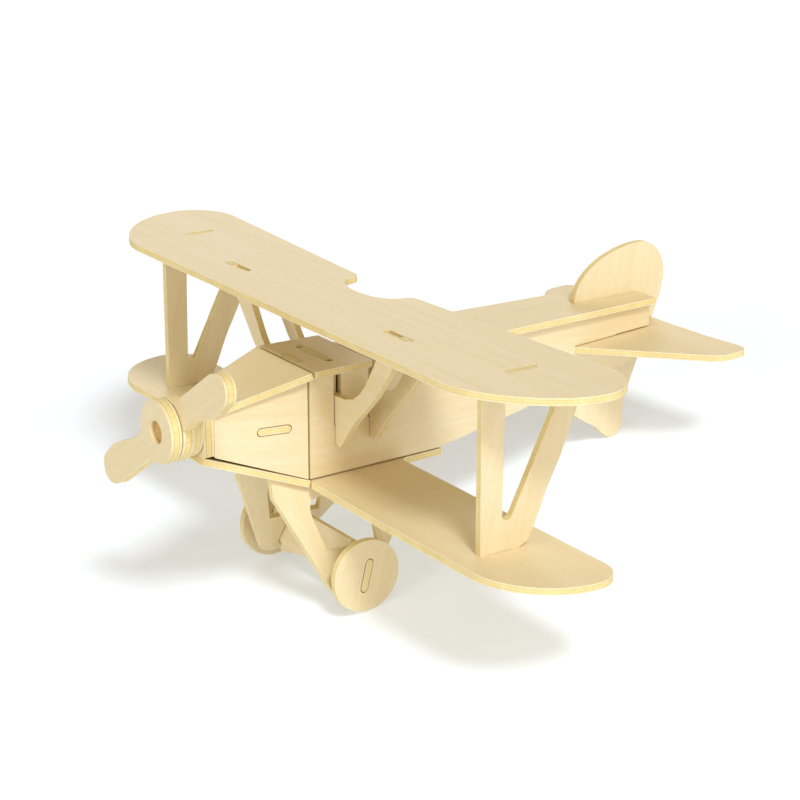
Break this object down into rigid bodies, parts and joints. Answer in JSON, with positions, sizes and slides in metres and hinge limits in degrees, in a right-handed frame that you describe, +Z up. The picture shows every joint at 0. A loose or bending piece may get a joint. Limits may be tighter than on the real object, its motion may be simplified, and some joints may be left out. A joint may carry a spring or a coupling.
{
  "type": "biplane scale model",
  "caption": "Slot-together plywood biplane: two wings on struts, box fuselage, fin with tail skid, fixed wheels on splayed legs, and a propeller that spins on a dowel.",
  "frame": {"origin": "on the table, in the middle of the model's footprint box", "axes": "+Z up, nose towards -Y, the model's own port (left) side towards +X; the model stands on its wheels and tail skid"},
  "size_m": [0.288, 0.2304, 0.1105],
  "materials": {
    "plywood": "raw sanded birch-type plywood with die-cut edges, matt",
    "plywood_thick": "raw sanded plywood hub discs, matt, with layered edges",
    "dowel": "raw turned hardwood dowel with end grain, matt"
  },
  "bodies": {
    "airframe": {"upper_wing": "plywood", "lower_wing": "plywood", "strut_port": "plywood", "strut_starboard": "plywood", "cabane_front": "plywood", "cabane_rear": "plywood", "side_port": "plywood", "side_starboard": "plywood", "cheek_port": "plywood", "cheek_starboard": "plywood", "nose_top": "plywood", "nose_bottom": "plywood", "nose_front": "plywood_thick", "shaft_bearing": "plywood", "nose_bulkhead": "plywood", "nose_shelf": "plywood", "former_mid": "plywood", "former_tail": "plywood", "front_deck": "plywood", "rear_deck": "plywood", "tailplane": "plywood", "fin_and_skid": "plywood", "gear_leg_port": "plywood", "gear_leg_starboard": "plywood", "axle_plate": "plywood", "wheel_port": "plywood", "wheel_starboard": "plywood"},
    "propeller": {"prop_blade_front": "plywood_thick", "prop_blade_rear": "plywood_thick", "hub_spacer": "plywood_thick", "prop_shaft": "dowel", "shaft_collar": "plywood"}
  },
  "joints": [
    {"name": "propeller_spin", "type": "hinge", "parent": "airframe", "child": "propeller", "pos_m": [0, -0.08693, 0.07796], "axis": [0, -0.9769, 0.2135], "continuous": true}
  ]
}
